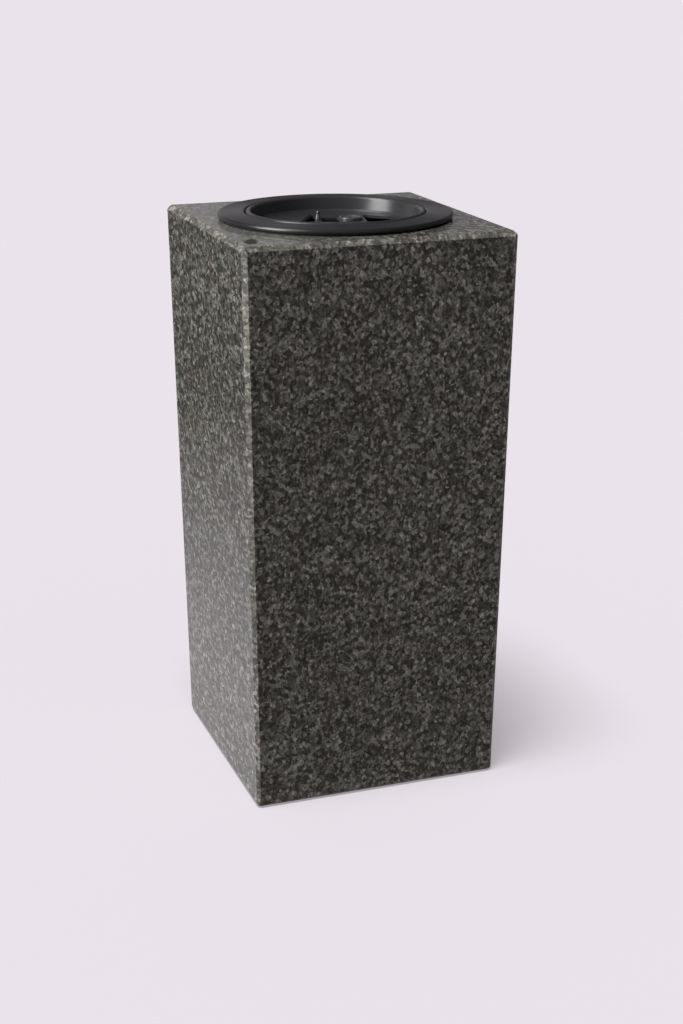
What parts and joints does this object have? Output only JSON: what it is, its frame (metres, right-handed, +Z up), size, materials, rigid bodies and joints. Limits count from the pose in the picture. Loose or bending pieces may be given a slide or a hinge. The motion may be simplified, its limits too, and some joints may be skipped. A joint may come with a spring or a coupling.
{
  "type": "ashtray bin",
  "caption": "Square, slightly tapered granite column with a black collar and a lockable stub tray over a lift-out ash bucket.",
  "frame": {"origin": "on the ground, at the centre of the column's square footprint", "axes": "+Z up; -Y is the front face, -X the left face"},
  "size_m": [0.2998, 0.2998, 0.6298],
  "materials": {
    "granite": "polished",
    "collar": "satin",
    "tray": "satin",
    "lock_head": "satin",
    "lock_brass": "satin",
    "steel": "satin",
    "galvanised": "matte",
    "rubber": "matte",
    "drain_plastic": "matte"
  },
  "bodies": {
    "column": {"granite_body": "granite", "foot_pads": "rubber", "anchor_sleeves": "steel", "drain_sleeve": "drain_plastic", "bucket_rest_ring": "rubber", "rim_gasket": "rubber", "collar_ring": "collar", "collar_screws": "steel", "grip_pads": "rubber"},
    "bucket": {"ash_bucket": "galvanised", "bucket_ears": "galvanised", "ear_rivets": "steel"},
    "bail": {"bail_handle": "steel"},
    "tray": {"stub_tray": "tray", "tray_seal": "rubber", "lift_post": "lock_head", "lift_post_nut": "steel", "lock_housing": "lock_head", "lock_washer": "steel", "lock_nut": "lock_brass"},
    "lock_rotor": {"lock_barrel": "lock_head", "lock_cam": "steel", "cam_screw": "steel"}
  },
  "joints": [
    {"name": "bucket_lift", "type": "slide", "parent": "column", "child": "bucket", "axis": [0, 0, 1], "range_m": [0, 0.46]},
    {"name": "tray_lift", "type": "slide", "parent": "bucket", "child": "tray", "axis": [0, 0, 1], "range_m": [0, 0.15]},
    {"name": "lock_turn", "type": "hinge", "parent": "tray", "child": "lock_rotor", "pos_m": [0.02393, 0.01802, 0.596], "axis": [0, 0, 1], "range_deg": [0, 90]},
    {"name": "bail_swing", "type": "hinge", "parent": "bucket", "child": "bail", "pos_m": [0, 0, 0.565], "axis": [1, 0, 0], "range_deg": [0, 90]}
  ],
  "couplings": [
    {"joint": "bail_swing", "follows": "tray_lift", "rad_per_m": 10.47}
  ]
}
